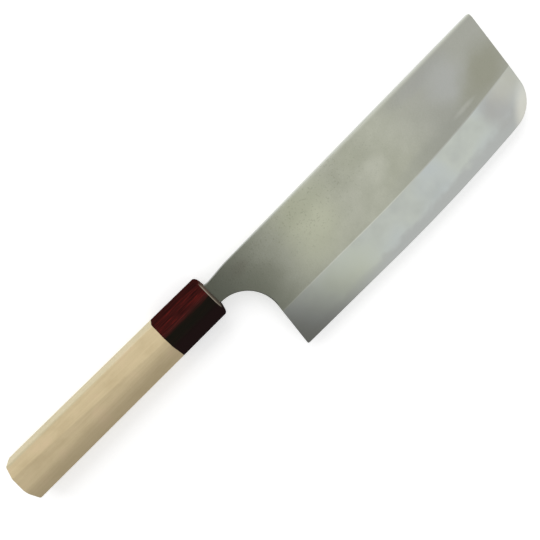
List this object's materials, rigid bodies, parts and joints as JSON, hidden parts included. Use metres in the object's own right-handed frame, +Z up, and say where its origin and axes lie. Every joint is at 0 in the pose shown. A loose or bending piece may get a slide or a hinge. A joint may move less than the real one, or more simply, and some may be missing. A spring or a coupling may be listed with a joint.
{
  "type": "nakiri knife",
  "caption": "Vegetable knife with a tall square-fronted laminated blade, an eight-sided wooden handle and a dark red ferrule.",
  "frame": {"origin": "middle of the handle's left flat, on the surface that the knife lies on", "axes": "+X from the butt to the front of the blade, +Y from the cutting edge to the spine, +Z up out of the blade's right face"},
  "size_m": [0.3062, 0.0642, 0.0182],
  "materials": {
    "core_steel": "ground and stoned carbon steel, brighter than the cladding",
    "cladding_iron": "soft iron with a fine pear-skin texture, satin ground along the bevel",
    "ferrule_wood": "dark red resin-filled laminated wood, polished",
    "handle_wood": "bare magnolia wood, hand planed",
    "dowel_wood": "plain softwood, turned",
    "bedding_resin": "dark cured resin"
  },
  "bodies": {
    "root": {"core_steel": "core_steel", "right_cladding": "cladding_iron", "left_cladding": "cladding_iron", "ferrule": "ferrule_wood", "handle": "handle_wood", "dowel": "dowel_wood", "tang_bedding": "bedding_resin"}
  },
  "joints": []
}
